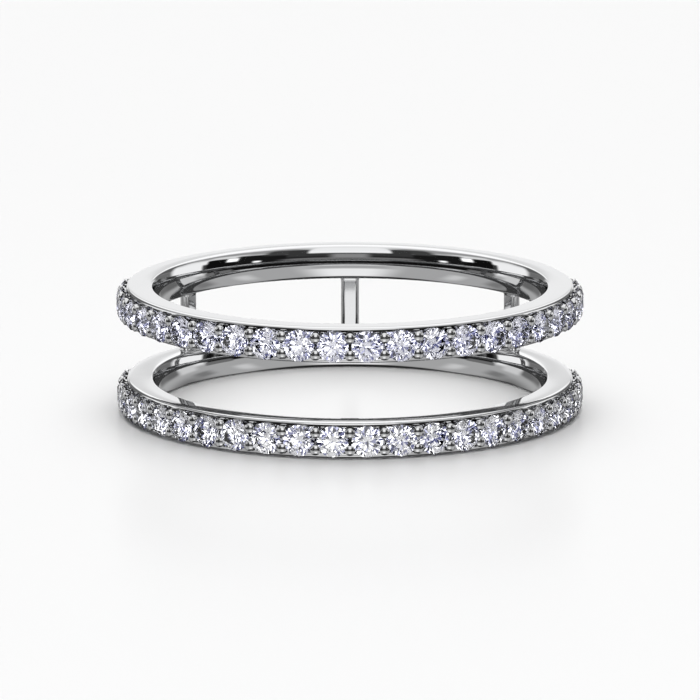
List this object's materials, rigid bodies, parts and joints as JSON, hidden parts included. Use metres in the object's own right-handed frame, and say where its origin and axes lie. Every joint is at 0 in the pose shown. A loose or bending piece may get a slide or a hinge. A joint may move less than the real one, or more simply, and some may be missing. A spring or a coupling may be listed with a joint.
{
  "type": "ring guard enhancer",
  "caption": "Ring guard enhancer: a pair of slim bands joined behind the finger by small bridges, each set over its front half with round stones held by shared beads.",
  "frame": {"origin": "on the finger's axis, level with the lower band's under face, on which the ring lies", "axes": "+Z along the finger from the lower band to the upper; the middle of the stone rows faces -Y and the bridges are behind, at +Y; +X is to the right as seen from the front"},
  "size_m": [0.0196, 0.0192, 0.0054],
  "materials": {
    "metal": "polished",
    "stones": "polished"
  },
  "bodies": {
    "root": {"double_band": "metal", "upper_stones": "stones", "lower_stones": "stones"}
  },
  "joints": []
}
